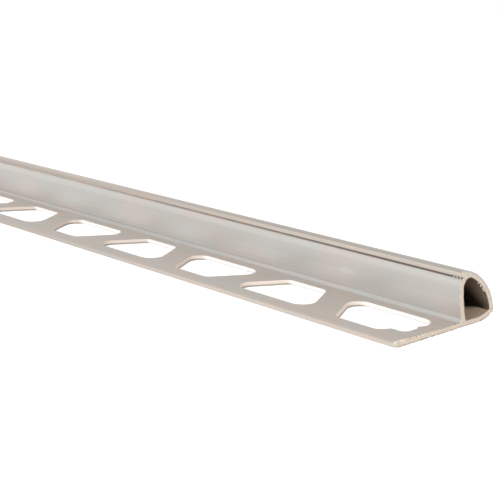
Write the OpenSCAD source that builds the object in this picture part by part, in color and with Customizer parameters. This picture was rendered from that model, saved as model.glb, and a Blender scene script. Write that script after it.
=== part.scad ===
// Tile edge trim: an extruded quarter-round tube on a perforated fixing flange.
// X runs along the trim, Y from the flange's free edge to the nose, Z up from the base.

/* [Stock] */
// Length of the trim
length = 1000; // [150:10:3000]
// Height of the trim, which is the tile thickness it covers
height = 10; // [8:0.5:12]
// Width from the flange's free edge to the nose of the tube
overall_w = 25.4; // [24:0.1:32]
// Width of the flange, from its free edge to the back of the tube
flange_w = 16; // [14:0.1:17]

/* [Walls] */
// Thickness of the flange and of the tube's floor
base_t = 0.9; // [0.8:0.05:1.4]
// Thickness of the tube's back wall
back_t = 1; // [0.8:0.05:1.4]
// Thickness of the rounded face
face_t = 1; // [0.8:0.05:1.2]

/* [Tube] */
// Outside radius of the rounded face
face_r = 10.1; // [9.8:0.1:12]
// Radius of the nose, where the rounded face turns under
nose_r = 0.6; // [0.4:0.05:0.9]
// Height of the nose's centre above the base
nose_z = 1.6; // [1.3:0.05:2.2]
// Radius of the underside as it rises to the nose
heel_r = 9; // [7:0.5:14]
// Radius of the back wall's outward bow
bow_r = 22; // [16:1:60]
// Inside radius where the back wall turns into the rounded face
shoulder_r = 1.5; // [1:0.1:2.2]
// Distance that the lip stands in from the back of the tube
lip_in = 0.4; // [0.2:0.05:0.8]
// Thickness of the rounded face at the lip
lip_t = 1.2; // [1:0.05:1.4]
// Rounding of the lip's top edge
lip_r = 0.5; // [0.2:0.05:0.7]
// Radius of the cavity's lower corners
cavity_r = 0.4; // [0.2:0.05:0.6]
// Fillet between the flange and the back wall
foot_r = 0.7; // [0.3:0.05:0.9]
// Radius of the flange's free top edge
edge_r = 0.25; // [0.1:0.05:0.35]

/* [Filing] */
// Width filed off the flange's free corners
corner_cut = 0.6; // [0.4:0.1:2]
// Width filed off the top of the sawn end, at the flange's free edge
file_w = 0.7; // [0.3:0.05:1.5]
// Depth filed off the top of the sawn end, at the flange's free edge
file_d = 0.35; // [0.1:0.05:0.5]
// Distance from the free edge at which that filing runs out
file_run = 11; // [4:0.5:14]

/* [Holes] */
// Distance between the centres of neighbouring holes
hole_pitch = 22.2; // [21:0.1:30]
// Length of a hole along the trim
hole_len = 19.3; // [16:0.1:20]
// Width of a hole across the flange
hole_w = 10.5; // [9:0.1:11]
// Distance from the flange's free edge to the holes
hole_edge = 3.3; // [2.5:0.1:3.5]
// Lean of a hole's sides
hole_lean = 30; // [20:1:32]
// Corner radius of a hole
hole_r = 1.9; // [1.2:0.1:2.2]
// Distance from the sawn end to the middle of the first hole
first_hole = 12.1; // [11:0.1:24]
// Least distance from the last hole to the far end
end_land = 2.4; // [2:0.1:10]

/* [Punch slip] */
// Distance from the end of the first hole back to the slip
slip_short = 0.5; // [0:0.1:1]
// Length of the slip beside the first hole
slip_len = 5; // [4:0.1:6]
// Width of the slip across the flange
slip_w = 4; // [3:0.1:5]
// Distance from the holes' outer edge to the slip
slip_edge = 2.2; // [1.5:0.1:3]
// Corner radius of the slip
slip_r = 1.2; // [0.6:0.1:1.4]

/* [Hidden] */
$fn = 96;
// Reach of the shapes that bound a region, well past the section
far = 3 * overall_w;
// Overlap of shapes that are joined
lap = 0.1;
// Amount by which a rounding's circle passes the sides it joins, so that they cross
hair = 0.01;

function unit(v) = v / norm(v);
function left_of(v) = [-v[1], v[0]];

// Meeting point of two circles, on the left of the way from a to b
function circles_meet(a, ra, b, rb) =
    let (gap = norm(b - a), along = (gap * gap + ra * ra - rb * rb) / (2 * gap))
    a + unit(b - a) * along + left_of(unit(b - a)) * sqrt(ra * ra - along * along);

// Section, with u across from the flange's free edge and v up from the base
nose = [overall_w - nose_r - hair, nose_z];
lip_c = [flange_w + lip_in + lip_r + hair, height - lip_r - hair];
face_c = circles_meet(nose, face_r - nose_r, lip_c, face_r - lip_r);
heel_c = [nose[0] - sqrt(pow(heel_r - nose_r, 2) - pow(heel_r - nose_z, 2)), heel_r];
shoulder_u = flange_w + back_t + shoulder_r;
shoulder_rise = sqrt(pow(face_r - face_t - shoulder_r, 2) - pow(shoulder_u - face_c[0], 2));
shoulder_c = [shoulder_u, face_c[1] + shoulder_rise];
shoulder_way = unit(shoulder_c - face_c);
bow_c = [flange_w + bow_r, shoulder_c[1]];
function wall_centre_u(r, v) = bow_c[0] - sqrt(r * r - pow(bow_c[1] - v, 2));
corner_c = [wall_centre_u(bow_r - back_t - cavity_r, base_t + cavity_r), base_t + cavity_r];
foot_c = [wall_centre_u(bow_r + foot_r, base_t + foot_r), base_t + foot_r];

// Holes
hole_y0 = hole_edge - overall_w / 2;
half_base = (90 - hole_lean) / 2;
half_long = hole_len / 2 + hole_r * (1 / tan(half_base) - 1);
half_short = half_long - hole_w * tan(hole_lean);
hole_room = length - first_hole - hole_len / 2 - end_land;
hole_count = floor(hole_room / hole_pitch) + 1;

// What lies beyond the chord from a to b, on the side away from c
module beyond(a, b, c) {
    out = unit((a + b) / 2 - c) * far;
    polygon([a, a + out, b + out, b]);
}

// The child shape with one corner rounded, by an arc from a to b about c
module soften(a, b, c, r) {
    difference() {
        children();
        beyond(a, b, c);
    }
    translate(c) circle(r + hair);
}

// Straight-sided outline with every corner rounded
module rounded_outline(points, r) {
    n = len(points);
    before = [for (i = [0 : n - 1]) unit(points[(i + n - 1) % n] - points[i])];
    after = [for (i = [0 : n - 1]) unit(points[(i + 1) % n] - points[i])];
    half = [for (i = [0 : n - 1]) acos(before[i] * after[i]) / 2];
    starts = [for (i = [0 : n - 1]) points[i] + before[i] * r / tan(half[i])];
    ends = [for (i = [0 : n - 1]) points[i] + after[i] * r / tan(half[i])];
    polygon([for (i = [0 : n - 1]) each [starts[i], ends[i]]]);
    for (i = [0 : n - 1])
        translate(points[i] + unit(before[i] + after[i]) * r / sin(half[i])) circle(r + hair);
}

// Everything above the underside, which is flat and then rises to the nose
module above_underside(inset) {
    translate([-far, inset]) square([far + heel_c[0], far]);
    intersection() {
        translate(heel_c) circle(heel_r - inset);
        translate([heel_c[0] - lap, 0]) square(far);
    }
}

// Everything inside the rounded face and the underside, with the nose rounded
module within_face(inset_face, inset_base, tip_r) {
    ro = face_r - inset_face;
    ru = heel_r - inset_base;
    tip = circles_meet(heel_c, ru - tip_r, face_c, ro - tip_r);
    soften(face_c + unit(tip - face_c) * ro, heel_c + unit(tip - heel_c) * ru, tip, tip_r)
        intersection() {
            translate(face_c) circle(ro);
            above_underside(inset_base);
        }
}

// Everything on the nose side of the bowed back wall and its shoulder
module ahead_of_back(inset) {
    intersection() {
        translate(bow_c) circle(bow_r - inset);
        translate([0, -far]) square([far, far + shoulder_c[1]]);
    }
    intersection() {
        translate(shoulder_c + [hair, 0]) circle(shoulder_r + back_t - inset + hair);
        translate(shoulder_c) polygon([[0, 0], shoulder_way * far, [-far, far], [-far, -lap], [0, -lap]]);
    }
    translate(shoulder_c) polygon([[0, 0], [0, -lap], [far, -lap], [far, far], shoulder_way * far]);
}

// Closed quarter-round tube, still solid
module tube_outline() {
    intersection() {
        within_face(0, 0, nose_r);
        ahead_of_back(0);
    }
}

// Hollow of the tube, with its corner at the foot of the back wall rounded
module cavity_outline() {
    on_wall = bow_c + unit(corner_c - bow_c) * (bow_r - back_t);
    soften(on_wall, [corner_c[0], base_t], corner_c, cavity_r)
        intersection() {
            within_face(face_t, base_t, cavity_r);
            ahead_of_back(back_t);
        }
}

// Free edge of the rounded face, which overhangs the shoulder as a lip
module lip_outline() {
    front = lip_c[0] - lip_r;
    lip_end = (face_c + shoulder_way * face_r)[0] + lap;
    soften(face_c + unit(lip_c - face_c) * face_r, [front, lip_c[1]], lip_c, lip_r)
        intersection() {
            difference() {
                translate(face_c) circle(face_r);
                translate(face_c) circle(face_r - lip_t);
            }
            translate([front, shoulder_c[1]]) square([lip_end - front, far]);
        }
}

// Floor of the tube, with what the fillet at the foot of the back wall is cut from
module floor_outline() {
    touch = bow_c + unit(foot_c - bow_c) * bow_r;
    mid_wall = touch[0] + back_t / 2;
    polygon([[foot_c[0], 0], [heel_c[0], 0], [heel_c[0], base_t], [mid_wall, base_t],
        [mid_wall, touch[1]], touch, [foot_c[0], base_t]]);
}

// Flange as far as the fillet, with its free top edge rounded
module flange_outline() {
    polygon([[0, 0], [foot_c[0], 0], [foot_c[0], base_t], [edge_r, base_t], [0, base_t - edge_r]]);
    translate([edge_r, base_t - edge_r]) circle(edge_r);
}

// Whole section of the extrusion
module section() {
    difference() {
        union() {
            flange_outline();
            floor_outline();
            tube_outline();
            lip_outline();
        }
        cavity_outline();
        translate(foot_c) circle(foot_r + hair);
    }
}

// Hole with four leaning sides, its long side towards the tube or towards the free edge
module hole_outline(long_in) {
    outer = long_in ? half_short : half_long;
    inner = long_in ? half_long : half_short;
    rounded_outline([
        [-outer, hole_y0],
        [outer, hole_y0],
        [inner, hole_y0 + hole_w],
        [-inner, hole_y0 + hole_w]], hole_r);
}

// Place where the punch slipped beside the first hole
module slip_outline() {
    slip_x = hole_len / 2 - slip_short - slip_len;
    slip_y = hole_y0 + slip_edge;
    rounded_outline([
        [slip_x, slip_y],
        [slip_x + slip_len, slip_y],
        [slip_x + slip_len, slip_y + slip_w],
        [slip_x, slip_y + slip_w]], slip_r);
}

// What the file takes off a free corner
module corner_outline() {
    polygon([[-lap, -lap], [corner_cut + lap, -lap], [-lap, corner_cut + lap]]);
}

// What the file takes off the top of the near sawn end, deepest at the free edge
module filed_slope() {
    swing = atan(file_w / file_run);
    tilt = atan(file_d / (file_w * cos(swing)));
    translate([length / 2, file_run - overall_w / 2, base_t])
        rotate([0, tilt, -swing])
            translate([0, -overall_w, 0]) cube([overall_w, 2 * overall_w, height]);
}

// One length of trim, extruded, punched, and filed at its sawn ends
module edge_trim() {
    color([0.76, 0.73, 0.70])
    difference() {
        translate([-length / 2, -overall_w / 2, 0])
            rotate([90, 0, 90]) linear_extrude(length) section();
        for (end = [0, 1])
            mirror([end, 0, 0])
                translate([-length / 2, -overall_w / 2, -lap])
                    linear_extrude(base_t + 2 * lap) corner_outline();
        filed_slope();
        for (i = [0 : hole_count - 1])
            translate([length / 2 - first_hole - i * hole_pitch, 0, -lap])
                linear_extrude(base_t + 2 * lap) {
                    hole_outline(i % 2 == 0);
                    if (i == 0) slip_outline();
                }
    }
}

edge_trim();
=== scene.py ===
import math

import bpy
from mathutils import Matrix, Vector


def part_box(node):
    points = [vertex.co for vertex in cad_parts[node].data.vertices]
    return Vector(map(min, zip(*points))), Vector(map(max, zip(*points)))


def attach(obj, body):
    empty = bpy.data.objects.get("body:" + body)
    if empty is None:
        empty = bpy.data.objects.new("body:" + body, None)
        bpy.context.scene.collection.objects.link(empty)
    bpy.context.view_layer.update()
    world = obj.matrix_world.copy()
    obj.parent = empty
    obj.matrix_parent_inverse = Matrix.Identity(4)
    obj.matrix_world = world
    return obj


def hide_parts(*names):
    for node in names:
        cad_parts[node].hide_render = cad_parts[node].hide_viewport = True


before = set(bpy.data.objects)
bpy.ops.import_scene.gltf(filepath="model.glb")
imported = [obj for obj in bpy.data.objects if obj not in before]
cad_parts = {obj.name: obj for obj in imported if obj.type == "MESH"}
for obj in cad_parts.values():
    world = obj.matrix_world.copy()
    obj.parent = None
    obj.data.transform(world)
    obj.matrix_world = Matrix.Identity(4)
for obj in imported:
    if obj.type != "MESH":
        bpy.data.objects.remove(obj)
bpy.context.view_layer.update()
low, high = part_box("edge_trim")
mm = 0.001
print("frame loaded")


# Helpers that fill a node tree. A value is a number, or a socket to link from.

def addNode(tree, kind, values=None, **settings):
    node = tree.nodes.new(kind)
    for name, value in settings.items():
        setattr(node, name, value)
    for name, value in (values or {}).items():
        feed(tree, node.inputs[name], value)
    return node


def feed(tree, socket, value):
    if isinstance(value, list):
        for source in value:
            tree.links.new(source, socket)
    elif isinstance(value, bpy.types.NodeSocket):
        tree.links.new(value, socket)
    else:
        socket.default_value = value


def addMath(tree, operation, first, second=0.0):
    return addNode(tree, "ShaderNodeMath", {0: first, 1: second}, operation=operation).outputs[0]


def addVector(tree, x=0.0, y=0.0, z=0.0):
    return addNode(tree, "ShaderNodeCombineXYZ", {0: x, 1: y, 2: z}).outputs[0]


def addSplit(tree, value):
    return addNode(tree, "ShaderNodeSeparateXYZ", {0: value}).outputs


def addVectorMath(tree, operation, first, second=(0, 0, 0)):
    made = addNode(tree, "ShaderNodeVectorMath", {0: first, 1: second}, operation=operation).outputs
    return made["Value" if operation in ("DOT_PRODUCT", "LENGTH") else "Vector"]


def addBoth(tree, first, second):
    return addNode(tree, "FunctionNodeBooleanMath", {0: first, 1: second}, operation="AND").outputs[0]


def isAbove(tree, value, limit):
    return addNode(tree, "FunctionNodeCompare", {0: value, 1: limit}, operation="GREATER_THAN").outputs[0]


def addRange(tree, value, fromLow, fromHigh, toLow, toHigh):
    return addNode(tree, "ShaderNodeMapRange",
                   {0: value, 1: fromLow, 2: fromHigh, 3: toLow, 4: toHigh}).outputs[0]


def addMix(tree, share, first, second, way="MIX"):
    return addNode(tree, "ShaderNodeMix", {0: share, 6: first, 7: second},
                   data_type="RGBA", blend_type=way).outputs[2]


def newGroup(name, kind, takes, gives):
    tree = bpy.data.node_groups.new(name, kind)
    for label, socketKind in takes:
        tree.interface.new_socket(label, in_out="INPUT", socket_type=socketKind)
    for label, socketKind in gives:
        tree.interface.new_socket(label, in_out="OUTPUT", socket_type=socketKind)
    given = tree.nodes.new("NodeGroupInput").outputs
    made = tree.nodes.new("NodeGroupOutput").inputs
    return tree, given, made


def useGroup(tree, group, values):
    node = tree.nodes.new("ShaderNodeGroup")
    node.node_tree = group
    for name, value in values.items():
        feed(tree, node.inputs[name], value)
    return node.outputs[0]


def runTree(host, tree, inputs):
    modifier = host.modifiers.new(tree.name, "NODES")
    modifier.node_group = tree
    for item in tree.interface.items_tree:
        if item.in_out == "INPUT" and item.name in inputs:
            modifier[item.identifier] = inputs[item.name]


def newHost(name, mesh):
    host = bpy.data.objects.new(name, mesh)
    bpy.context.scene.collection.objects.link(host)
    return host


def settle(host, name):  # the evaluated host as a plain mesh under its own name
    graph = bpy.context.evaluated_depsgraph_get()
    mesh = bpy.data.meshes.new_from_object(host.evaluated_get(graph), depsgraph=graph)
    mesh.name = name
    bpy.data.objects.remove(host)
    print(name, "has", len(mesh.polygons), "faces")
    return newHost(name, mesh)


geometry, number, whole = "NodeSocketGeometry", "NodeSocketFloat", "NodeSocketInt"
vector, colour, finish = "NodeSocketVector", "NodeSocketColor", "NodeSocketMaterial"


# The section across the trim: u from the flange's free edge to the nose, v up from the floor.

sectionSizes = {  # millimetres
    "wide": (high.y - low.y) / mm,
    "high": (high.z - low.z) / mm,
    "flangeWide": 16.0,
    "flangeThick": 0.9,
    "edgeRadius": 0.25,
    "backThick": 1.0,
    "faceThick": 1.0,
    "lipThick": 1.2,
    "lipIn": 0.4,
    "lipRadius": 0.5,
    "faceRadius": 10.1,
    "noseRadius": 0.6,
    "noseHigh": 1.6,
    "heelRadius": 9.0,
    "bowRadius": 22.0,
    "shoulderRadius": 1.5,
    "innerRadius": 0.4,
    "footRadius": 0.7,
    "lightAt": 22.0,  # degrees of a rounded edge that belong to its pale front, which gets painted light
    "grooveDown": 0.45,  # how far down the shoulder the groove's painted shade reaches
    "chordHigh": 0.003,  # most that a flat stands off the arc it follows
    "leastFlats": 3,  # on the smallest arc
    "samePoint": 1e-4,  # points nearer than this are one
}


def circlesMeet(a, aRadius, b, bRadius):  # the meeting point on the left of the way from a to b
    gap = (b - a).length
    along = (gap ** 2 + aRadius ** 2 - bRadius ** 2) / (2 * gap)
    way = (b - a) / gap
    return a + way * along + Vector((-way.y, way.x)) * math.sqrt(aRadius ** 2 - along ** 2)


def bearing(a, b):
    return math.atan2(b.y - a.y, b.x - a.x)


def arc(centre, radius, start, end):
    step = 2 * math.acos(1 - sectionSizes["chordHigh"] / radius)
    count = max(sectionSizes["leastFlats"], math.ceil(abs(end - start) / step))
    turns = [start + (end - start) * i / count for i in range(count + 1)]
    return [centre + Vector((math.cos(t), math.sin(t))) * radius for t in turns]


def drawSection(s):
    flange, thick, edge = s["flangeWide"], s["flangeThick"], s["edgeRadius"]
    quarter, half = math.pi / 2, math.pi
    nose = Vector((s["wide"] - s["noseRadius"], s["noseHigh"]))
    lip = Vector((flange + s["lipIn"] + s["lipRadius"], s["high"] - s["lipRadius"]))
    face = circlesMeet(nose, s["faceRadius"] - s["noseRadius"], lip, s["faceRadius"] - s["lipRadius"])
    heelReach = math.sqrt((s["heelRadius"] - s["noseRadius"]) ** 2 - (s["heelRadius"] - s["noseHigh"]) ** 2)
    heel = Vector((nose.x - heelReach, s["heelRadius"]))
    faceInside = s["faceRadius"] - s["faceThick"]
    shoulderOver = flange + s["backThick"] + s["shoulderRadius"]
    shoulderRise = math.sqrt((faceInside - s["shoulderRadius"]) ** 2 - (shoulderOver - face.x) ** 2)
    shoulder = Vector((shoulderOver, face.y + shoulderRise))
    bow = Vector((flange + s["bowRadius"], shoulder.y))

    def besideWall(radius, v):  # centre of a small arc that touches the bowed wall
        return Vector((bow.x - math.sqrt(radius ** 2 - (bow.y - v) ** 2), v))

    foot = besideWall(s["bowRadius"] + s["footRadius"], thick + s["footRadius"])
    lipInside = s["faceRadius"] - s["lipThick"]
    lipFront = lip.x - s["lipRadius"]
    lipUnder = Vector((lipFront, face.y + math.sqrt(lipInside ** 2 - (lipFront - face.x) ** 2)))
    shoulderOutside = s["shoulderRadius"] + s["backThick"]
    groove = circlesMeet(face, lipInside, shoulder, shoulderOutside)

    base = [Vector((0, 0)), Vector((heel.x, 0))]
    heelArc = arc(heel, s["heelRadius"], -quarter, bearing(heel, nose))
    noseArc = arc(nose, s["noseRadius"], bearing(heel, nose), bearing(face, nose))
    faceArc = arc(face, s["faceRadius"], bearing(face, nose), bearing(face, lip))
    lipTurn = arc(lip, s["lipRadius"], bearing(face, lip), half)
    lipArc = arc(face, lipInside, bearing(face, lipUnder), bearing(face, groove))
    shoulderArc = arc(shoulder, shoulderOutside, bearing(shoulder, groove), half)
    wallArc = arc(bow, s["bowRadius"], half, bearing(bow, foot) % (2 * half))
    footArc = arc(foot, s["footRadius"], bearing(foot, bow), -quarter)
    edgeArc = arc(Vector((edge, thick - edge)), edge, quarter, half)
    outer = base + heelArc + noseArc + faceArc + lipTurn + lipArc + shoulderArc + wallArc + footArc + edgeArc

    corner = besideWall(s["bowRadius"] - s["backThick"] - s["innerRadius"], thick + s["innerRadius"])
    tip = circlesMeet(heel, s["heelRadius"] - thick - s["innerRadius"], face, faceInside - s["innerRadius"])
    ceiling = arc(face, faceInside, bearing(face, tip), bearing(face, shoulder))
    innerFloor = arc(heel, s["heelRadius"] - thick, -quarter, bearing(heel, tip))
    inner = innerFloor + arc(tip, s["innerRadius"], bearing(heel, tip), bearing(face, tip))
    inner += ceiling
    inner += arc(shoulder, s["shoulderRadius"], bearing(face, shoulder), half)
    inner += arc(bow, s["bowRadius"] - s["backThick"], half, bearing(bow, corner) % (2 * half))
    inner += arc(corner, s["innerRadius"], bearing(bow, corner) % (2 * half), 3 * quarter)

    shadedShoulder = [p for p in shoulderArc if p.y > lipUnder.y - s["grooveDown"]]
    lightAt = math.cos(math.radians(s["lightAt"]))
    lipLow = [p for p in lipTurn if p.x < lip.x - s["lipRadius"] * lightAt]
    edgeLow = [p for p in edgeArc if p.x < edge - edge * lightAt]
    bands = {"onFace": noseArc + faceArc + lipTurn, "onLip": lipLow + [lipUnder], "onGroove": lipArc + shadedShoulder,
             "onInner": inner, "onInnerFloor": [inner[-1]] + innerFloor,
             "onFoot": footArc, "onFlange": [footArc[-1]] + edgeArc, "onFreeEdge": [base[0]] + edgeLow}
    return {"loops": [outer, inner], "bands": bands, "under": base + heelArc, "ceiling": ceiling,
            "mouth": lipUnder, "face": face}


def sectionMesh(drawn, samePoint):
    points, edges = [], []
    for loop in drawn["loops"]:
        ring = [p for i, p in enumerate(loop) if (p - loop[i - 1]).length > samePoint]
        first = len(points)
        points += ring
        edges += [(first + i, first + (i + 1) % len(ring)) for i in range(len(ring))]
    mesh = bpy.data.meshes.new("trimSection")
    mesh.from_pydata([(p.x * mm, p.y * mm, 0) for p in points], edges, [])
    for label, band in drawn["bands"].items():
        marks = [float(any((p - q).length < samePoint for q in band)) for p in points]
        mesh.attributes.new(label, "FLOAT", "POINT").data.foreach_set("value", marks)
    return mesh


bandFinishes = {
    "onFace": "Face Finish", "onLip": "Edge Finish", "onGroove": "Groove Finish", "onInner": "Inside Finish",
    "onInnerFloor": "Inside Floor Finish", "onFoot": "Foot Finish", "onFlange": "Flange Finish",
    "onFreeEdge": "Edge Finish",
}
section = drawSection(sectionSizes)
stockHost = newHost("trimSection", sectionMesh(section, sectionSizes["samePoint"]))
print("section drawn with", len(stockHost.data.vertices), "points")


# Effects that several finishes share. Places are in millimetres.

effectValues = {
    "markDetail": 3.0,
    "markRough": 0.6,
    "markSpread": (0.3, 0.7),  # the noise that counts as no mark, and as a full one
    "cloudDetail": 2.0,
    "cloudSpread": (0.38, 0.62),
    "speckCore": 0.4,  # share of a speck's reach that is solid before it fades
}


def makeMarks(v):  # noise drawn out into lines: Stretch is marks per millimetre along each axis
    tree, given, made = newGroup("drawnMarks", "ShaderNodeTree",
                                 [("Place", vector), ("Stretch", vector)], [("Mark", number)])
    drawn = addVectorMath(tree, "MULTIPLY", given["Place"], given["Stretch"])
    noise = addNode(tree, "ShaderNodeTexNoise",
                    {"Vector": drawn, "Scale": 1.0, "Detail": v["markDetail"], "Roughness": v["markRough"]})
    feed(tree, made["Mark"], addRange(tree, noise.outputs[0], *v["markSpread"], 0.0, 1.0))
    return tree


def makeClouds(v):  # a colour that drifts between two tints in soft patches
    tree, given, made = newGroup("softClouds", "ShaderNodeTree",
                                 [("Place", vector), ("Patch", number), ("Colour", colour),
                                  ("Warm", colour), ("Cool", colour)], [("Colour", colour)])
    fine = addMath(tree, "DIVIDE", 1.0, given["Patch"])
    noise = addNode(tree, "ShaderNodeTexNoise",
                    {"Vector": given["Place"], "Scale": fine, "Detail": v["cloudDetail"]})
    drift = addRange(tree, noise.outputs[0], *v["cloudSpread"], 0.0, 1.0)
    tint = addMix(tree, drift, given["Warm"], given["Cool"])
    feed(tree, made["Colour"], addMix(tree, 1.0, given["Colour"], tint, "MULTIPLY"))
    return tree


def makeSpecks(v):  # a few soft spots, some cells of a grid having one and the others none
    tree, given, made = newGroup("sparseSpecks", "ShaderNodeTree",
                                 [("Place", vector), ("Apart", number), ("Size", number), ("Chance", number)],
                                 [("Speck", number)])
    fine = addMath(tree, "DIVIDE", 1.0, given["Apart"])
    cells = addNode(tree, "ShaderNodeTexVoronoi", {"Vector": given["Place"], "Scale": fine}, feature="F1")
    reach = addMath(tree, "DIVIDE", given["Size"], given["Apart"])
    inner = addMath(tree, "MULTIPLY", reach, v["speckCore"])
    spot = addRange(tree, cells.outputs["Distance"], inner, reach, 1.0, 0.0)
    draw = addNode(tree, "ShaderNodeSeparateColor", {0: cells.outputs["Color"]}).outputs[0]
    kept = addMath(tree, "LESS_THAN", draw, given["Chance"])
    feed(tree, made["Speck"], addMath(tree, "MULTIPLY", spot, kept))
    return tree


marksGroup = makeMarks(effectValues)
cloudsGroup = makeClouds(effectValues)
specksGroup = makeSpecks(effectValues)


# Finishes. Colours are the metal's own, as they look in plain white light, except the painted light and shade
# marked below.

def newFinish(name, rough, metal):
    material = bpy.data.materials.new(name)
    material.use_nodes = True
    tree = material.node_tree
    shader = tree.nodes["Principled BSDF"]
    shader.inputs["Roughness"].default_value = rough
    shader.inputs["Metallic"].default_value = metal
    here = tree.nodes.new("ShaderNodeTexCoord").outputs["Object"]
    place = addVectorMath(tree, "MULTIPLY", here, (1 / mm,) * 3)
    return material, tree, shader.inputs, place


def addRelief(tree, sockets, height, deep):
    bump = addNode(tree, "ShaderNodeBump", {"Height": height, "Distance": deep * mm})
    feed(tree, sockets["Normal"], bump.outputs[0])


def addClouds(tree, place, v):
    return useGroup(tree, cloudsGroup, {"Place": place, "Patch": v["patch"], "Colour": v["colour"],
                                        "Warm": v["warm"], "Cool": v["cool"]})


def addMarks(tree, place, stretch):
    return useGroup(tree, marksGroup, {"Place": place, "Stretch": stretch})


def addSpecks(tree, place, v, kind):
    return useGroup(tree, specksGroup, {"Place": place, "Apart": v[kind + "Apart"], "Size": v[kind + "Size"],
                                        "Chance": v[kind + "Chance"]})


def addLines(tree, tone, mark, dark):  # the tone, darker where there is no mark
    return addMix(tree, 1.0, tone, addRange(tree, mark, 0.0, 1.0, dark, 1.0), "MULTIPLY")


def isOver(tree, height, level, soft):  # 0 below the level and 1 above it, with a soft change
    return addRange(tree, height, level - soft, level + soft, 0.0, 1.0)


def addPaintedLight(tree, place, tone, v):  # painted light and shade: a tint that comes in along paintedLightWay
    way = addVectorMath(tree, "DOT_PRODUCT", place, v["paintedLightWay"])
    paintedShare = addRange(tree, way, *v["paintedLightFrom"], 0.0, 1.0)
    return addMix(tree, paintedShare, tone, addMix(tree, 1.0, tone, v["paintedLightTint"], "MULTIPLY"))


smudgeValues = {
    "drawnOut": (0.4, 1, 1),  # smudges run along the trim
    "share": 0.5,
}
satinValues = {
    "mill": {
        "colour": (0.605, 0.582, 0.555, 1), "warm": (1.03, 0.985, 0.97, 1), "cool": (0.975, 1.0, 0.995, 1),
        "patch": 7.0, "streaks": (0.012, 3.0, 3.0), "streakDark": 0.95,
        "smudge": (0.70, 0.67, 0.64, 1), "smudgeApart": 7.0, "smudgeSize": 1.0, "smudgeChance": 0.16,
        "rough": 0.52, "roughDrift": 0.06, "metal": 0.5, "deep": 0.012,
        # painted light: the wall is brighter towards the bottom and away from the near end
        "paintedLightWay": (0.05, 0, 1), "paintedLightFrom": (28.5, 23.5), "paintedLightTint": (1.11, 1.115, 1.12, 1),
    },
    "flange": {
        # painted shade: the flange top is a darker copy of the wall's metal
        "colour": (0.525, 0.482, 0.445, 1), "warm": (1.04, 0.985, 0.96, 1), "cool": (0.97, 1.0, 1.0, 1),
        "patch": 6.0, "streaks": (0.015, 3.0, 3.0), "streakDark": 0.94,
        "smudge": (0.60, 0.56, 0.52, 1), "smudgeApart": 9.0, "smudgeSize": 1.0, "smudgeChance": 0.15,
        "rough": 0.55, "roughDrift": 0.06, "metal": 0.5, "deep": 0.012,
    },
    "face": {
        "colour": (0.45, 0.412, 0.376, 1), "warm": (1.03, 0.985, 0.96, 1), "cool": (0.97, 1.0, 1.0, 1),
        "patch": 9.0, "streaks": (0.010, 4.0, 4.0), "streakDark": 0.93,
        "smudge": (0.56, 0.53, 0.50, 1), "smudgeApart": 12.0, "smudgeSize": 1.0, "smudgeChance": 0.15,
        "rough": 0.5, "roughDrift": 0.06, "metal": 0.7, "deep": 0.010,
        # painted light: the face gets paler towards the far end
        "paintedLightWay": (1, 0, 0), "paintedLightFrom": (455.0, 385.0), "paintedLightTint": (1.25, 1.24, 1.23, 1),
    },
    "edge": {
        # painted light: the lip's front and the flange's free edge are a paler copy of the wall's metal,
        # darker again towards the far end
        "colour": (0.67, 0.605, 0.55, 1), "warm": (1.03, 0.98, 0.96, 1), "cool": (0.98, 1.0, 0.99, 1),
        "patch": 5.0, "streaks": (0.02, 5.0, 5.0), "streakDark": 0.94,
        "smudge": (0.58, 0.51, 0.45, 1), "smudgeApart": 6.0, "smudgeSize": 0.8, "smudgeChance": 0.2,
        "rough": 0.5, "roughDrift": 0.06, "metal": 0.7, "deep": 0.012,
        "paintedLightWay": (1, 0, 0), "paintedLightFrom": (455.0, 385.0), "paintedLightTint": (0.81, 0.81, 0.81, 1),
    },
    "foot": {
        # painted shade: the foot fillet is darker than the wall to dim its highlight, and darker again
        # towards the far end
        "colour": (0.50, 0.488, 0.472, 1), "warm": (1.03, 0.985, 0.97, 1), "cool": (0.975, 1.0, 0.995, 1),
        "patch": 7.0, "streaks": (0.012, 3.0, 3.0), "streakDark": 0.93,
        "smudge": (0.55, 0.53, 0.50, 1), "smudgeApart": 9.0, "smudgeSize": 0.8, "smudgeChance": 0.1,
        "rough": 0.6, "roughDrift": 0.05, "metal": 0.3, "deep": 0.012,
        "paintedLightWay": (1, 0, 0), "paintedLightFrom": (470.0, 400.0), "paintedLightTint": (0.95, 0.95, 0.95, 1),
    },
    "groove": {
        # painted shade in the groove under the lip; its tint fades that shade towards the far end
        "colour": (0.28, 0.25, 0.225, 1), "warm": (1.1, 0.98, 0.92, 1), "cool": (0.9, 0.95, 0.95, 1),
        "patch": 4.0, "streaks": (0.02, 6.0, 6.0), "streakDark": 0.85,
        "smudge": (0.24, 0.21, 0.18, 1), "smudgeApart": 5.0, "smudgeSize": 0.8, "smudgeChance": 0.2,
        "rough": 0.7, "roughDrift": 0.05, "metal": 0.3, "deep": 0.010,
        "paintedLightWay": (1, 0, 0), "paintedLightFrom": (486.0, 375.0), "paintedLightTint": (2.63, 2.77, 2.88, 1),
    },
}


def satinFinish(name, v):
    material, tree, sockets, place = newFinish(name, v["rough"], v["metal"])
    tone = addClouds(tree, place, v)
    streak = addMarks(tree, place, v["streaks"])
    lined = addLines(tree, tone, streak, v["streakDark"])
    rubbed = addVectorMath(tree, "MULTIPLY", place, smudgeValues["drawnOut"])
    smudge = addMath(tree, "MULTIPLY", addSpecks(tree, rubbed, v, "smudge"), smudgeValues["share"])
    marked = addMix(tree, smudge, lined, v["smudge"])
    if "paintedLightTint" in v:
        marked = addPaintedLight(tree, place, marked, v)
    feed(tree, sockets["Base Color"], marked)
    dullest, brightest = v["rough"] + v["roughDrift"], v["rough"] - v["roughDrift"]
    feed(tree, sockets["Roughness"], addRange(tree, streak, 0.0, 1.0, dullest, brightest))
    addRelief(tree, sockets, streak, v["deep"])
    return material


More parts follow.
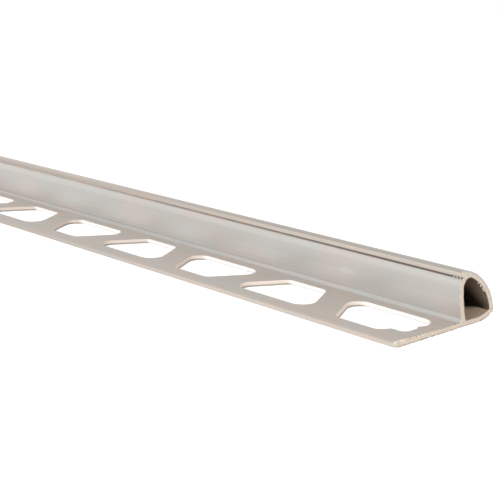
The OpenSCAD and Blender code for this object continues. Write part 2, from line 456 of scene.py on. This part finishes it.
insideValues = {
    "walls": {
        "colour": (0.34, 0.245, 0.19, 1), "warm": (1.08, 0.98, 0.9, 1), "cool": (0.92, 0.98, 1.0, 1),
        "patch": 3.0, "streaks": (0.02, 2.5, 2.5), "streakDark": 0.85,
        "rough": 0.75, "metal": 0.0, "deep": 0.015,
        "paintedShade": (0.012, 0.008, 0.006, 1), "paintedShadeIn": (-4.5, -0.5),  # painted shade: depth plus slant, from unshaded to fully shaded
        "paintedShadeAt": (0, 0, 0), "paintedShadeSlant": (0, 0, -1.3),
    },
    "floor": {
        # painted light: the tube's floor is a little paler than its walls, where the lamp reaches in
        "colour": (0.38, 0.29, 0.21, 1), "warm": (1.08, 0.98, 0.9, 1), "cool": (0.92, 0.98, 1.0, 1),
        "patch": 2.0, "streaks": (0.02, 2.5, 2.5), "streakDark": 0.85,
        "rough": 0.75, "metal": 0.0, "deep": 0.015,
        "paintedShade": (0.012, 0.008, 0.006, 1), "paintedShadeIn": (0.0, 1.2),
        "paintedShadeAt": (0, 12.1, 0), "paintedShadeSlant": (0, 3.25, 0),
    },
}


def insideFinish(name, v):
    material, tree, sockets, place = newFinish(name, v["rough"], v["metal"])
    tone = addClouds(tree, place, v)
    streak = addMarks(tree, place, v["streaks"])
    lined = addLines(tree, tone, streak, v["streakDark"])
    # painted shade: darker deeper in from the sawn ends, its edge slanted like a cast shadow line
    along = addMath(tree, "ABSOLUTE", addSplit(tree, place)["X"])
    deepIn = addMath(tree, "SUBTRACT", high.x / mm, along)
    spot = addVectorMath(tree, "SUBTRACT", place, v["paintedShadeAt"])
    slant = addVectorMath(tree, "DOT_PRODUCT", spot, v["paintedShadeSlant"])
    inShade = addRange(tree, addMath(tree, "ADD", deepIn, slant), *v["paintedShadeIn"], 0.0, 1.0)
    feed(tree, sockets["Base Color"], addMix(tree, inShade, lined, v["paintedShade"]))
    addRelief(tree, sockets, streak, v["deep"])
    return material


punchedValues = {
    "sheared": (0.95, 0.93, 0.91, 1),  # the bright upper part of a punched wall
    "tornShade": (0.86, 0.83, 0.80, 1),  # the tear below it, a little darker: partly the tear, partly painted shade
    "endShaded": (0.77, 0.69, 0.63, 1),  # painted shade: the upper part on a hole's leaning ends
    "endFootShadow": (0.46, 0.41, 0.36, 1),  # painted shadow at the foot of those ends
    "endFacing": (0.25, 0.65),  # from a wall along the trim to one that counts as an end
    "tearShadeHigh": 0.16, "tearShadeSoft": 0.08, "tearShadeWander": 0.12,
    "endShadowRise": 0.1,  # how much higher the painted shadow reaches at the ends
    "scores": (5.0, 5.0, 0.15), "scoreDark": 0.93, "rough": 0.8, "metal": 0.82, "deep": 0.01,
    # painted shade: the ends darken towards the far end
    "paintedLightWay": (1, 0, 0), "paintedLightFrom": (470.0, 390.0), "paintedLightTint": (0.86, 0.84, 0.83, 1),
}


def punchedFinish(name, v):
    material, tree, sockets, place = newFinish(name, v["rough"], v["metal"])
    score = addMarks(tree, place, v["scores"])
    # painted shade: walls that face along the trim get the darker end tints and a painted shadow at their
    # foot
    facing = addNode(tree, "ShaderNodeAttribute", attribute_name="endFacing").outputs["Fac"]
    atEnd = addRange(tree, facing, *v["endFacing"], 0.0, 1.0)
    wander = addMath(tree, "MULTIPLY", score, v["tearShadeWander"])
    wander = addMath(tree, "ADD", wander, addMath(tree, "MULTIPLY", atEnd, v["endShadowRise"]))
    above = addMath(tree, "SUBTRACT", addSplit(tree, place)["Z"], wander)
    clean = isOver(tree, above, v["tearShadeHigh"], v["tearShadeSoft"])
    wall = addMix(tree, clean, addMix(tree, atEnd, v["tornShade"], v["endFootShadow"]),
                  addMix(tree, atEnd, v["sheared"], v["endShaded"]))
    lined = addLines(tree, wall, score, v["scoreDark"])
    feed(tree, sockets["Base Color"], addMix(tree, atEnd, lined, addPaintedLight(tree, place, lined, v)))
    addRelief(tree, sockets, score, v["deep"])
    return material


sawnValues = {
    "colour": (0.93, 0.81, 0.69, 1), "warm": (1.04, 0.98, 0.93, 1), "cool": (0.97, 0.99, 1.0, 1),
    "patch": 1.6, "teeth": (1.0, 1.6, 4.0), "teethDark": 0.78,
    # painted shade: a darker strip at the foot of the sawn end, under its lower edge, with a ragged top
    "raggedShade": (0.50, 0.42, 0.34, 1), "raggedShadeHigh": 0.26, "raggedShadeSoft": 0.14, "raggedShadeWander": 0.25,
    "crumb": (0.42, 0.33, 0.25, 1), "crumbApart": 0.9, "crumbSize": 0.22, "crumbChance": 0.25,
    "rim": (0.52, 0.48, 0.44, 1),  # a line that follows the rounded face
    "rimIn": 0.2, "rimWide": 0.11, "rimFrom": (1.0, 1.8),
    "rough": 0.65, "metal": 0.2, "deep": 0.03,
}


def sawnFinish(name, v):
    material, tree, sockets, place = newFinish(name, v["rough"], v["metal"])
    tone = addClouds(tree, place, v)
    tooth = addMarks(tree, place, v["teeth"])
    lined = addLines(tree, tone, tooth, v["teethDark"])
    # painted shade at the foot of the sawn end, with a ragged top
    wander = addMath(tree, "MULTIPLY", tooth, v["raggedShadeWander"])
    rise = addMath(tree, "ADD", addSplit(tree, place)["Z"], wander)
    tornShade = addMix(tree, isOver(tree, rise, v["raggedShadeHigh"], v["raggedShadeSoft"]), v["raggedShade"], lined)
    crumbed = addMix(tree, addSpecks(tree, place, v, "crumb"), tornShade, v["crumb"])
    faceAt = (0, low.y / mm + section["face"].x, low.z / mm + section["face"].y)
    spoke = addVectorMath(tree, "SUBTRACT", place, faceAt)  # then its length across the trim
    spoke = addVectorMath(tree, "LENGTH", addVectorMath(tree, "MULTIPLY", spoke, (0, 1, 1)))
    offRim = addMath(tree, "SUBTRACT", spoke, sectionSizes["faceRadius"] - v["rimIn"])
    offRim = addMath(tree, "ABSOLUTE", offRim)
    rim = addMath(tree, "MULTIPLY", addRange(tree, offRim, 0.0, v["rimWide"], 1.0, 0.0),
                  addRange(tree, rise, *v["rimFrom"], 0.0, 1.0))
    feed(tree, sockets["Base Color"], addMix(tree, rim, crumbed, v["rim"]))
    addRelief(tree, sockets, tooth, v["deep"])
    return material


burrValues = {
    "dark": (0.26, 0.205, 0.16, 1), "pale": (0.86, 0.75, 0.64, 1), "rough": 0.6, "metal": 0.2,
    "grain": (4.0, 4.0, 4.0), "grainDark": 0.85, "deep": 0.02,
}


def burrFinish(name, v):  # each chip has its own tint
    material, tree, sockets, place = newFinish(name, v["rough"], v["metal"])
    tint = addNode(tree, "ShaderNodeAttribute", attribute_name="chipTint").outputs["Fac"]
    grain = addMarks(tree, place, v["grain"])
    chip = addMix(tree, tint, v["dark"], v["pale"])
    feed(tree, sockets["Base Color"], addLines(tree, chip, grain, v["grainDark"]))
    addRelief(tree, sockets, grain, v["deep"])
    return material


finishes = {
    "Mill Finish": satinFinish("millSatin", satinValues["mill"]),
    "Flange Finish": satinFinish("flangeShadeSatin", satinValues["flange"]),
    "Face Finish": satinFinish("faceSatin", satinValues["face"]),
    "Edge Finish": satinFinish("litFrontEdge", satinValues["edge"]),
    "Foot Finish": satinFinish("footShadeSatin", satinValues["foot"]),
    "Groove Finish": satinFinish("grooveShade", satinValues["groove"]),
    "Inside Finish": insideFinish("tubeInside", insideValues["walls"]),
    "Inside Floor Finish": insideFinish("tubeFloor", insideValues["floor"]),
    "Punched Finish": punchedFinish("punchedWall", punchedValues),
    "Sawn Finish": sawnFinish("sawnEnd", sawnValues),
    "Burr Finish": burrFinish("sawBurr", burrValues),
}
stockFinishes = {label: made for label, made in finishes.items() if label != "Burr Finish"}
print("finishes mixed:", len(finishes))


# The stock: the section run out to its length, then punched and filed.

stockSizes = {  # millimetres
    "pitch": 22.2,
    "holeLong": 19.3,
    "holeWide": 10.5,
    "holeEdge": 3.3,
    "holeLean": 30.0,  # degrees that a hole's ends lean
    "holeCorner": 1.9,
    "tipCorner": 2.6,  # at a hole's two sharp corners
    "punchSlant": 0.5,  # how far a hole's foot lies nearer the near end than its top
    "firstHole": 12.1,  # from the near end to the first hole's middle
    "endLand": 2.4,  # least left between the last hole and the far end
    "slipShort": 0.5,  # the slipped second punching in the first hole
    "slipLong": 5.0,
    "slipWide": 4.0,
    "slipEdge": 2.2,
    "slipCorner": 1.2,
    "filedCorner": 0.6,  # taken off the flange's free corners
    "filedWide": 0.7,  # the slope filed on the near end's top, at the free edge
    "filedDeep": 0.35,
    "filedRun": 11.0,
    "arris": 0.1,  # rounding left on a cut edge
    "arrisSteps": 2,
    "burrRoom": 0.06,  # the sawn faces lie this far inside the tips of their burrs
    "punchDeep": 3.0,  # times the flange's thickness, so that punches pass right through
    "cornerSteps": 12,  # points round a hole's corner
    "slipSteps": 8,
    "sharpFrom": 35.0,  # degrees of bend from which an edge is a cut one
    "endSlack": 0.1,  # how near the end a face lies to count as sawn
    "squareOn": 0.999,  # and how squarely it faces along the trim
    "wholly": 0.99,  # a mark above this is on all corners of a face
    "weld": 0.001,  # points nearer than this are merged
}


def addInput(tree, kind):
    return tree.nodes.new("GeometryNodeInput" + kind).outputs[0]


def joinShapes(tree, shapes):
    return addNode(tree, "GeometryNodeJoinGeometry", {0: shapes}).outputs[0]


def moveShape(tree, shape, place, turn=(0, 0, 0)):
    return addNode(tree, "GeometryNodeTransform",
                   {"Geometry": shape, "Translation": place, "Rotation": turn}).outputs[0]


def roundCorners(tree, curve, steps, radius):
    return addNode(tree, "GeometryNodeFilletCurve",
                   {"Curve": curve, "Count": steps, "Radius": radius}, mode="POLY").outputs[0]


def storeValue(tree, shape, label, value, domain):
    return addNode(tree, "GeometryNodeStoreNamedAttribute",
                   {"Geometry": shape, "Name": label, "Value": value},
                   data_type="FLOAT", domain=domain).outputs[0]


def solidFrom(tree, curve, deep):  # a filled outline made a closed block
    flat = addNode(tree, "GeometryNodeFillCurve", {"Curve": curve}, mode="NGONS").outputs[0]
    raised = addNode(tree, "GeometryNodeExtrudeMesh",
                     {"Mesh": flat, "Offset": (0, 0, 1), "Offset Scale": deep, "Individual": False})
    under = addNode(tree, "GeometryNodeFlipFaces", {"Mesh": flat}).outputs[0]
    joined = joinShapes(tree, [under, raised.outputs["Mesh"]])
    return addNode(tree, "GeometryNodeMergeByDistance",
                   {"Geometry": joined, "Distance": stockSizes["weld"] * mm}).outputs[0]


def paint(tree, shape, material, where=True):
    return addNode(tree, "GeometryNodeSetMaterial",
                   {"Geometry": shape, "Material": material, "Selection": where}).outputs[0]


def bandMark(tree, label):
    return addNode(tree, "GeometryNodeInputNamedAttribute", {"Name": label}, data_type="FLOAT").outputs[0]


def paintBands(tree, bar, drawn, given):  # each band's faces are those whose corners all carry its mark
    here = addSplit(tree, addInput(tree, "Position"))
    flat = addVector(tree, here["X"], here["Y"])
    nearest = addNode(tree, "GeometryNodeSampleNearest", {"Geometry": drawn, "Sample Position": flat},
                      domain="POINT").outputs[0]
    for label, name in bandFinishes.items():
        carried = addNode(tree, "GeometryNodeSampleIndex",
                          {"Geometry": drawn, "Value": bandMark(tree, label), "Index": nearest},
                          data_type="FLOAT", domain="POINT").outputs[0]
        bar = storeValue(tree, bar, label, carried, "POINT")
        bar = paint(tree, bar, given[name], isAbove(tree, bandMark(tree, label), stockSizes["wholly"]))
    return bar


def stockTree(s):
    floats = ["Length", "Wide", "Thick", "Pitch", "First Hole", "Hole Wide", "Hole Long Side",
              "Hole Short Side", "Hole Corner", "Tip Corner", "Punch Slant", "Hole Middle", "Slip Long",
              "Slip Wide", "Slip Corner", "Filed Corner", "Filed Run", "Burr Room"]
    takes = [("Geometry", geometry)] + [(label, number) for label in floats]
    takes += [("Hole Count", whole), ("Slip Place", vector), ("Filed Turn", vector)]
    takes += [(label, finish) for label in stockFinishes]
    tree, given, made = newGroup("trimStock", "GeometryNodeTree", takes, [("Geometry", geometry)])

    halfLong = addMath(tree, "MULTIPLY", given["Length"], 0.5)
    halfWide = addMath(tree, "MULTIPLY", given["Wide"], 0.5)
    freeEdge = addMath(tree, "MULTIPLY", halfWide, -1.0)
    sawnAt = addMath(tree, "SUBTRACT", halfLong, given["Burr Room"])
    farSawn = addMath(tree, "MULTIPLY", sawnAt, -1.0)
    quarter = math.pi / 2
    outline = addNode(tree, "GeometryNodeMeshToCurve", {"Mesh": given["Geometry"]}).outputs[0]
    bar = solidFrom(tree, outline, addMath(tree, "MULTIPLY", sawnAt, 2.0))
    bar = paint(tree, bar, given["Mill Finish"])
    bar = paintBands(tree, bar, given["Geometry"], given)
    laid = moveShape(tree, bar, addVector(tree, farSawn, freeEdge), (quarter, 0, quarter))

    deep = addMath(tree, "MULTIPLY", given["Thick"], s["punchDeep"])
    under = addMath(tree, "MULTIPLY", given["Thick"], -1.0)
    leaning = addNode(tree, "GeometryNodeCurvePrimitiveQuadrilateral",
                      {"Height": given["Hole Wide"], "Bottom Width": given["Hole Short Side"],
                       "Top Width": given["Hole Long Side"], "Offset": 0.0}, mode="TRAPEZOID").outputs[0]
    onLongSide = isAbove(tree, addSplit(tree, addInput(tree, "Position"))["Y"], 0.0)
    radius = addNode(tree, "GeometryNodeSwitch",
                     {"Switch": onLongSide, "False": given["Hole Corner"], "True": given["Tip Corner"]},
                     input_type="FLOAT").outputs[0]
    punch = solidFrom(tree, roundCorners(tree, leaning, s["cornerSteps"], radius), deep)
    nearHole = addMath(tree, "SUBTRACT", halfLong, given["First Hole"])
    step = addVector(tree, addMath(tree, "MULTIPLY", given["Pitch"], -1.0))
    row = addNode(tree, "GeometryNodeMeshLine",
                  {"Count": given["Hole Count"], "Offset": step,
                   "Start Location": addVector(tree, nearHole, given["Hole Middle"], under)}).outputs[0]
    odd = addMath(tree, "MODULO", addInput(tree, "Index"), 2.0)
    turned = addVector(tree, 0.0, 0.0, addMath(tree, "MULTIPLY", odd, math.pi))
    punches = addNode(tree, "GeometryNodeInstanceOnPoints",
                      {"Points": row, "Instance": punch, "Rotation": turned}).outputs[0]
    punches = addNode(tree, "GeometryNodeRealizeInstances", {0: punches}).outputs[0]
    rise = addSplit(tree, addInput(tree, "Position"))["Z"]
    sunk = addMath(tree, "SUBTRACT", 1.0, addMath(tree, "DIVIDE", rise, given["Thick"]))
    slanted = addVector(tree, addMath(tree, "MULTIPLY", sunk, given["Punch Slant"]))
    punches = addNode(tree, "GeometryNodeSetPosition", {"Geometry": punches, "Offset": slanted}).outputs[0]

    slip = addNode(tree, "GeometryNodeCurvePrimitiveQuadrilateral",
                   {"Width": given["Slip Long"], "Height": given["Slip Wide"]}).outputs[0]
    slip = solidFrom(tree, roundCorners(tree, slip, s["slipSteps"], given["Slip Corner"]), deep)
    slip = moveShape(tree, slip, given["Slip Place"])

    # a square block that stands on its corner takes off each free corner at 45 degrees
    across = addMath(tree, "MULTIPLY", given["Filed Corner"], math.sqrt(2))
    block = addNode(tree, "GeometryNodeMeshCube", {"Size": addVector(tree, across, across, deep)}).outputs[0]
    corners = [moveShape(tree, block, addVector(tree, end, freeEdge), (0, 0, quarter / 2))
               for end in (sawnAt, farSawn)]

    twiceWide = addMath(tree, "MULTIPLY", given["Wide"], 2.0)
    slope = addNode(tree, "GeometryNodeMeshCube",
                    {"Size": addVector(tree, given["Wide"], twiceWide, given["Wide"])}).outputs[0]
    slope = moveShape(tree, slope, addVector(tree, halfWide, 0.0, halfWide))
    runOut = addMath(tree, "ADD", freeEdge, given["Filed Run"])
    slope = moveShape(tree, slope, addVector(tree, sawnAt, runOut, given["Thick"]), given["Filed Turn"])

    tools = paint(tree, joinShapes(tree, [punches, slip]), given["Punched Finish"])
    corners = paint(tree, joinShapes(tree, corners), given["Edge Finish"])
    files = joinShapes(tree, [corners, paint(tree, slope, given["Sawn Finish"])])
    cut = addNode(tree, "GeometryNodeMeshBoolean",
                  {"Mesh 1": laid, "Mesh 2": [tools, files], "Self Intersection": True},
                  operation="DIFFERENCE", solver="EXACT").outputs[0]

    isCut = isAbove(tree, addInput(tree, "MeshEdgeAngle"), math.radians(s["sharpFrom"]))
    weighed = storeValue(tree, cut, "bevel_weight_edge", isCut, "EDGE")
    smooth = addNode(tree, "GeometryNodeSetShadeSmooth", {"Geometry": weighed}).outputs[0]

    facing = addMath(tree, "ABSOLUTE", addSplit(tree, addInput(tree, "Normal"))["X"])
    faced = storeValue(tree, smooth, "endFacing", facing, "FACE")
    endOn = isAbove(tree, facing, s["squareOn"])
    outward = addMath(tree, "ABSOLUTE", addSplit(tree, addInput(tree, "Position"))["X"])
    atEnd = isAbove(tree, outward, addMath(tree, "SUBTRACT", sawnAt, s["endSlack"] * mm))
    realized = addNode(tree, "GeometryNodeRealizeInstances", {0: faced}).outputs[0]
    feed(tree, made[0], paint(tree, realized, given["Sawn Finish"], addBoth(tree, endOn, atEnd)))
    return tree


def stockInputs(s):
    length = (high.x - low.x) / mm
    baseAngle = math.radians(90 - s["holeLean"]) / 2
    longSide = s["holeLong"] + 2 * s["holeCorner"] * (1 / math.tan(baseAngle) - 1)
    shortSide = longSide - 2 * s["holeWide"] * math.tan(math.radians(s["holeLean"]))
    holeRoom = length - s["firstHole"] - s["holeLong"] / 2 - s["endLand"]
    holeStart = low.y / mm + s["holeEdge"]
    slipX = length / 2 - s["firstHole"] + s["holeLong"] / 2 - s["slipShort"] - s["slipLong"] / 2
    slipY = holeStart + s["slipEdge"] + s["slipWide"] / 2
    thick = sectionSizes["flangeThick"]
    swing = math.atan(s["filedWide"] / s["filedRun"])
    tilt = math.atan(s["filedDeep"] / (s["filedWide"] * math.cos(swing)))
    sizes = {
        "Length": length, "Wide": sectionSizes["wide"], "Thick": thick, "Pitch": s["pitch"],
        "First Hole": s["firstHole"], "Hole Wide": s["holeWide"], "Hole Long Side": longSide,
        "Hole Short Side": shortSide, "Hole Corner": s["holeCorner"], "Tip Corner": s["tipCorner"],
        "Punch Slant": s["punchSlant"], "Hole Middle": holeStart + s["holeWide"] / 2,
        "Slip Long": s["slipLong"], "Slip Wide": s["slipWide"], "Slip Corner": s["slipCorner"],
        "Filed Corner": s["filedCorner"], "Filed Run": s["filedRun"], "Burr Room": s["burrRoom"],
    }
    inputs = {name: value * mm for name, value in sizes.items()}
    inputs["Hole Count"] = int(holeRoom // s["pitch"]) + 1
    inputs["Slip Place"] = (slipX * mm, slipY * mm, -thick * mm)
    inputs["Filed Turn"] = (0.0, tilt, -swing)
    return {**inputs, **stockFinishes}


runTree(stockHost, stockTree(stockSizes), stockInputs(stockSizes))
arris = stockHost.modifiers.new("arris", "BEVEL")
arris.limit_method = "WEIGHT"
arris.width = stockSizes["arris"] * mm
arris.segments = stockSizes["arrisSteps"]
arris.use_clamp_overlap = False
evened = stockHost.modifiers.new("evened", "WEIGHTED_NORMAL")
evened.keep_sharp = False
trim = settle(stockHost, "edgeTrimStock")


# Burrs that the saw left: chips strewn along a path.

burrSets = {  # millimetres and degrees
    "sawnFringe": {"spacing": 0.3, "least": (0.05, 0.07, 0.06), "most": (0.11, 0.3, 0.2),
                   "turn": (180, 10, 10), "chance": 0.4, "tints": (0.1, 0.9), "seed": 3},
    "underFringe": {"spacing": 0.35, "least": (0.08, 0.2, 0.1), "most": (0.14, 0.6, 0.3),
                    "turn": (15, 10, 10), "chance": 0.55, "tints": (0.0, 0.7), "seed": 5},
    "toothMarks": {"spacing": 0.9, "least": (0.1, 0.2, 0.1), "most": (0.4, 0.5, 0.22),
                   "turn": (20, 20, 20), "chance": 0.85, "tints": (0.2, 1.0), "seed": 4},
    "cornerBurr": {"spacing": 0.2, "least": (0.1, 0.14, 0.14), "most": (0.2, 0.26, 0.3),
                   "turn": (30, 20, 20), "chance": 0.85, "tints": (0.35, 0.7), "seed": 9},
    "noseBurr": {"spacing": 0.2, "least": (0.1, 0.14, 0.14), "most": (0.16, 0.24, 0.26),
                 "turn": (30, 20, 20), "chance": 0.8, "tints": (0.1, 0.45), "seed": 6},
    "ceilingFlakes": {"spacing": 0.42, "least": (0.2, 0.4, 0.36), "most": (0.4, 0.7, 0.62),
                      "turn": (60, 20, 20), "chance": 0.9, "tints": (0.9, 1.0), "seed": 8},
    "grooveChips": {"spacing": 0.6, "least": (0.16, 0.22, 0.3), "most": (0.5, 0.32, 0.46),
                    "turn": (30, 20, 20), "chance": 1.0, "tints": (0.85, 1.0), "seed": 11},
}
chipSizes = {  # before a chip is stretched to its own size
    "radius": 0.5,
    "rounds": 1,
    "jag": 0.2,
}
burrReach = {
    "flakes": (36.0, 54.0),  # degrees round the rounded face
    "flakesIn": 0.2,
    "grooveFrom": (1.6, 0.3),  # behind the sawn end
    "grooveOut": (-0.16, -0.1),  # from the lip's lower edge to the chips in the groove's mouth
    "underHigh": 0.08,
    "corner": [(0.5, 0.1, 0.78), (0.05, 0.58, 0.56), (0.0, 0.74, 0.1)],  # behind the end, across and up
    "nose": [(24.95, 1.15), (24.8, 1.7)],
}


def endPath(points, end, back=0.0):  # section points as places on a sawn end, or a little behind it
    x = high.x - (stockSizes["burrRoom"] + back) * mm
    return [Vector((end * x, low.y + p.x * mm, low.z + p.y * mm)) for p in points]


def flakePath(ceiling, reach):
    first, last = reach["flakes"]
    face = section["face"]
    near = [p for p in ceiling if first < math.degrees(bearing(face, p)) < last]
    return endPath([p + (face - p).normalized() * reach["flakesIn"] for p in near], 1)


def burrPaths(reach):
    outlines = [loop + loop[:1] for loop in section["loops"]]
    lifted = [p + Vector((0, reach["underHigh"])) for p in section["under"]]
    mouth = section["mouth"] + Vector(reach["grooveOut"])
    thick = sectionSizes["flangeThick"]
    topEdge = [Vector((stockSizes["filedCorner"], thick)), Vector((sectionSizes["flangeWide"], thick))]
    return {
        "sawnFringe": [endPath(loop, end) for loop in outlines for end in (1, -1)],
        "underFringe": [endPath(lifted, end) for end in (1, -1)],
        "toothMarks": [endPath(topEdge, 1)],
        "cornerBurr": [[endPath([Vector((u, v))], 1, back)[0] for back, u, v in reach["corner"]]],
        "noseBurr": [endPath([Vector(p) for p in reach["nose"]], 1)],
        "ceilingFlakes": [flakePath(section["ceiling"], reach)],
        "grooveChips": [[endPath([mouth], 1, back)[0] for back in reach["grooveFrom"]]],
    }


def pathMesh(name, paths):
    points, edges = [], []
    for path in paths:
        first = len(points)
        points += path
        edges += [(first + i, first + i + 1) for i in range(len(path) - 1)]
    mesh = bpy.data.meshes.new(name)
    mesh.from_pydata(points, edges, [])
    return mesh


def burrTree(c):
    takes = [("Geometry", geometry), ("Spacing", number), ("Least Chip", vector), ("Most Chip", vector),
             ("Turn", vector), ("Chance", number), ("Dark Tint", number), ("Pale Tint", number),
             ("Seed", whole), ("Box Low", vector), ("Box High", vector), ("Burr Finish", finish)]
    tree, given, made = newGroup("sawBurrs", "GeometryNodeTree", takes, [("Geometry", geometry)])

    def draw(least, most):  # a random vector for each chip or corner
        return addNode(tree, "FunctionNodeRandomValue", {0: least, 1: most, "Seed": given["Seed"]},
                       data_type="FLOAT_VECTOR").outputs[0]

    path = addNode(tree, "GeometryNodeMeshToCurve", {"Mesh": given["Geometry"]}).outputs[0]
    spots = addNode(tree, "GeometryNodeCurveToPoints", {"Curve": path, "Length": given["Spacing"]},
                    mode="LENGTH").outputs["Points"]
    ball = addNode(tree, "GeometryNodeMeshIcoSphere",
                   {"Radius": c["radius"], "Subdivisions": c["rounds"]}).outputs[0]
    jagged = draw((-c["jag"],) * 3, (c["jag"],) * 3)
    chip = addNode(tree, "GeometryNodeSetPosition", {"Geometry": ball, "Offset": jagged}).outputs[0]
    kept = addNode(tree, "FunctionNodeRandomValue", {"Probability": given["Chance"], "Seed": given["Seed"]},
                   data_type="BOOLEAN").outputs[3]
    turnBack = addVectorMath(tree, "MULTIPLY", given["Turn"], (-1, -1, -1))
    strewn = addNode(tree, "GeometryNodeInstanceOnPoints",
                     {"Points": spots, "Selection": kept, "Instance": chip,
                      "Rotation": draw(turnBack, given["Turn"]),
                      "Scale": draw(given["Least Chip"], given["Most Chip"])}).outputs[0]
    tint = addNode(tree, "FunctionNodeRandomValue",
                   {2: given["Dark Tint"], 3: given["Pale Tint"], "Seed": given["Seed"]},
                   data_type="FLOAT").outputs[1]
    tinted = storeValue(tree, strewn, "chipTint", tint, "INSTANCE")
    realized = addNode(tree, "GeometryNodeRealizeInstances", {0: tinted}).outputs[0]
    here = addVectorMath(tree, "MAXIMUM", addInput(tree, "Position"), given["Box Low"])
    here = addVectorMath(tree, "MINIMUM", here, given["Box High"])
    inside = addNode(tree, "GeometryNodeSetPosition", {"Geometry": realized, "Position": here}).outputs[0]
    feed(tree, made[0], paint(tree, inside, given["Burr Finish"]))
    return tree


def burrInputs(s):
    dark, pale = s["tints"]
    return {"Spacing": s["spacing"] * mm, "Least Chip": Vector(s["least"]) * mm,
            "Most Chip": Vector(s["most"]) * mm, "Turn": [math.radians(a) for a in s["turn"]],
            "Chance": s["chance"], "Dark Tint": dark, "Pale Tint": pale, "Seed": s["seed"],
            "Box Low": low, "Box High": high, "Burr Finish": finishes["Burr Finish"]}


burrsTree = burrTree(chipSizes)
burrs = []
for name, paths in burrPaths(burrReach).items():
    burrHost = newHost(name + "Path", pathMesh(name, paths))
    runTree(burrHost, burrsTree, burrInputs(burrSets[name]))
    burrs.append(settle(burrHost, name))


# Camera at the photo's view, and plain studio light.

cameraPlace = {
    "fromNearCorner": (128.9, -147.8, 65.8),  # millimetres from the flange's near free corner
    "azimuth": 48.01,
    "elevation": 14.22,
    "focalPixels": 1266.0,
    "framePixels": 500.0,
    "sensorWide": 36.0,
    "clipStart": 0.01,
}


def placeCamera(c):
    data = bpy.data.cameras.new("camera")
    data.sensor_width = c["sensorWide"]
    data.lens = data.sensor_width * c["focalPixels"] / c["framePixels"]
    data.clip_start = c["clipStart"]
    camera = newHost("camera", data)
    camera.location = Vector((high.x, low.y, low.z)) + Vector(c["fromNearCorner"]) * mm
    camera.rotation_euler = (math.radians(90 - c["elevation"]), 0, math.radians(c["azimuth"]))
    bpy.context.scene.camera = camera


lightValues = {
    "worldFill": 0.5,  # the world's strength on the object
    "floorWide": 8.0,
    "floorDrop": 0.02,  # millimetres that the floor lies under the trim
    "floorGlow": 0.74,  # what the background's rays see of the floor beyond its light
    "floorWhite": 0.4,
    "keyPlace": (1.65, -0.55, 1.6),
    "keyAim": (0.4, 0, 0),
    "keyWide": 0.35,
    "keyPower": 20.0,
    "fillPlace": (0.9, -2.2, 0.55),
    "fillAim": (0.45, 0, 0),
    "fillWide": 1.4,
    "fillPower": 22.0,
}


def seenWhite(tree):  # 1 for rays that show the background: camera, glossy and transmission
    path = tree.nodes.new("ShaderNodeLightPath").outputs
    seen = addMath(tree, "MAXIMUM", path["Is Camera Ray"], path["Is Glossy Ray"])
    return addMath(tree, "MAXIMUM", seen, path["Is Transmission Ray"])


def makeWorld(v):
    world = bpy.data.worlds.new("whiteRoom")
    world.use_nodes = True
    tree = world.node_tree
    back = tree.nodes["Background"].inputs
    back["Color"].default_value = (1, 1, 1, 1)
    feed(tree, back["Strength"], addRange(tree, seenWhite(tree), 0.0, 1.0, v["worldFill"], 1.0))
    bpy.context.scene.world = world


def makeFloor(v):
    material = bpy.data.materials.new("whiteFloor")
    material.use_nodes = True
    tree = material.node_tree
    tree.nodes.remove(tree.nodes["Principled BSDF"])
    dull = addNode(tree, "ShaderNodeBsdfDiffuse", {"Color": (v["floorWhite"],) * 3 + (1,)}).outputs[0]
    glow = addNode(tree, "ShaderNodeEmission",
                   {"Strength": addMath(tree, "MULTIPLY", seenWhite(tree), v["floorGlow"])}).outputs[0]
    both = addNode(tree, "ShaderNodeAddShader", {0: dull, 1: glow}).outputs[0]
    feed(tree, tree.nodes["Material Output"].inputs["Surface"], both)
    reach = v["floorWide"] / 2
    level = low.z - v["floorDrop"] * mm
    mesh = bpy.data.meshes.new("floor")
    corners = [(-reach, -reach, level), (reach, -reach, level), (reach, reach, level), (-reach, reach, level)]
    mesh.from_pydata(corners, [], [(0, 1, 2, 3)])
    mesh.materials.append(material)
    return newHost("floor", mesh)


def addLamp(name, v):
    data = bpy.data.lights.new(name + "Lamp", "AREA")
    data.size = v[name + "Wide"]
    data.energy = v[name + "Power"]
    lamp = newHost(name + "Lamp", data)
    place, aim = Vector(v[name + "Place"]), Vector(v[name + "Aim"])
    lamp.location = place
    lamp.rotation_euler = (aim - place).to_track_quat("-Z", "Y").to_euler()


placeCamera(cameraPlace)
makeWorld(lightValues)
floor = makeFloor(lightValues)
addLamp("key", lightValues)
addLamp("fill", lightValues)
bpy.context.scene.view_settings.view_transform = "Standard"
print("camera and light placed")

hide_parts("edge_trim")
for piece in [trim] + burrs:
    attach(piece, "root")
